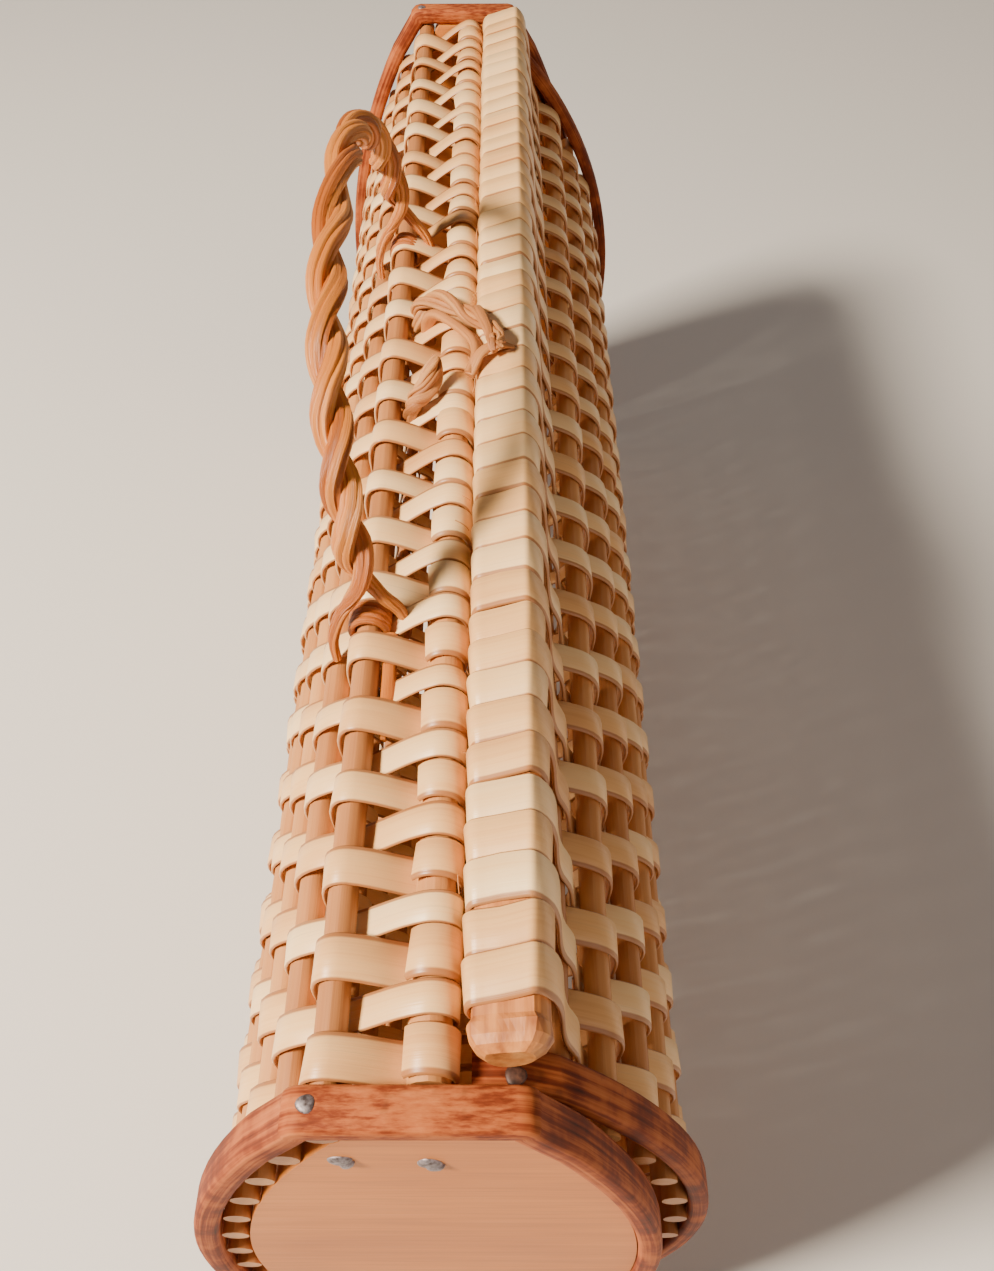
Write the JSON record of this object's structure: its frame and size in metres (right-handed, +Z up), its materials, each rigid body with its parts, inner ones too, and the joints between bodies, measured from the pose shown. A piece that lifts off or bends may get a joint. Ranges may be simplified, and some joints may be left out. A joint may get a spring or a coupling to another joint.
{
  "type": "wicker case",
  "caption": "Small clamshell wicker case with wooden ends, bent hoops, woven strip walls, a twisted arch handle on top and a lid that swings on its bottom rail.",
  "frame": {"origin": "middle of the case's footprint, on the ground under it", "axes": "+Y along the case from the near end to the far end, +X from the body side to the lid side, +Z up"},
  "size_m": [0.11, 0.4, 0.2692],
  "materials": {
    "board": "bare, dull",
    "hoop": "bark, dull",
    "nail": "dull",
    "rod": "peeled, dull",
    "branch": "peeled, dull",
    "strip": "split, dull",
    "rope": "twisted fibres, dull"
  },
  "bodies": {
    "body": {"near_end_board": "board", "far_end_board": "board", "near_end_hoop": "hoop", "far_end_hoop": "hoop", "hoop_nails": "nail", "handle_rod": "rod", "top_edge_rod": "rod", "bottom_corner_rod": "rod", "bottom_edge_rod": "rod", "body_rod_1": "rod", "body_rod_2": "rod", "body_rod_3": "rod", "body_rod_4": "rod", "body_rod_5": "rod", "body_rod_6": "rod", "body_rod_7": "rod", "body_rod_8": "rod", "body_rod_9": "rod", "body_rod_10": "rod", "body_rod_11": "rod", "body_rod_12": "rod", "body_rod_13": "rod", "body_weave": "strip", "hinge_loop_1": "strip", "hinge_loop_2": "strip", "hinge_loop_3": "strip", "handle_grip": "rope", "near_handle_foot": "rope", "far_handle_foot": "rope", "handle_tail": "rope", "clasp_loop": "rope", "clasp_stub": "rope"},
    "lid": {"lid_branch": "branch", "lid_rail": "rod", "near_lid_hoop": "hoop", "far_lid_hoop": "hoop", "lid_weave": "strip", "lid_rod_1": "rod", "lid_rod_2": "rod", "lid_rod_3": "rod", "lid_rod_4": "rod", "lid_rod_5": "rod", "lid_rod_6": "rod", "lid_rod_7": "rod", "lid_rod_8": "rod", "lid_rod_9": "rod", "lid_rod_10": "rod", "lid_rod_11": "rod", "lid_rod_12": "rod"}
  },
  "joints": [
    {"name": "lid_hinge", "type": "hinge", "parent": "body", "child": "lid", "pos_m": [0.01, 0, 0.0064], "axis": [0, 1, 0], "range_deg": [0, 110]}
  ]
}
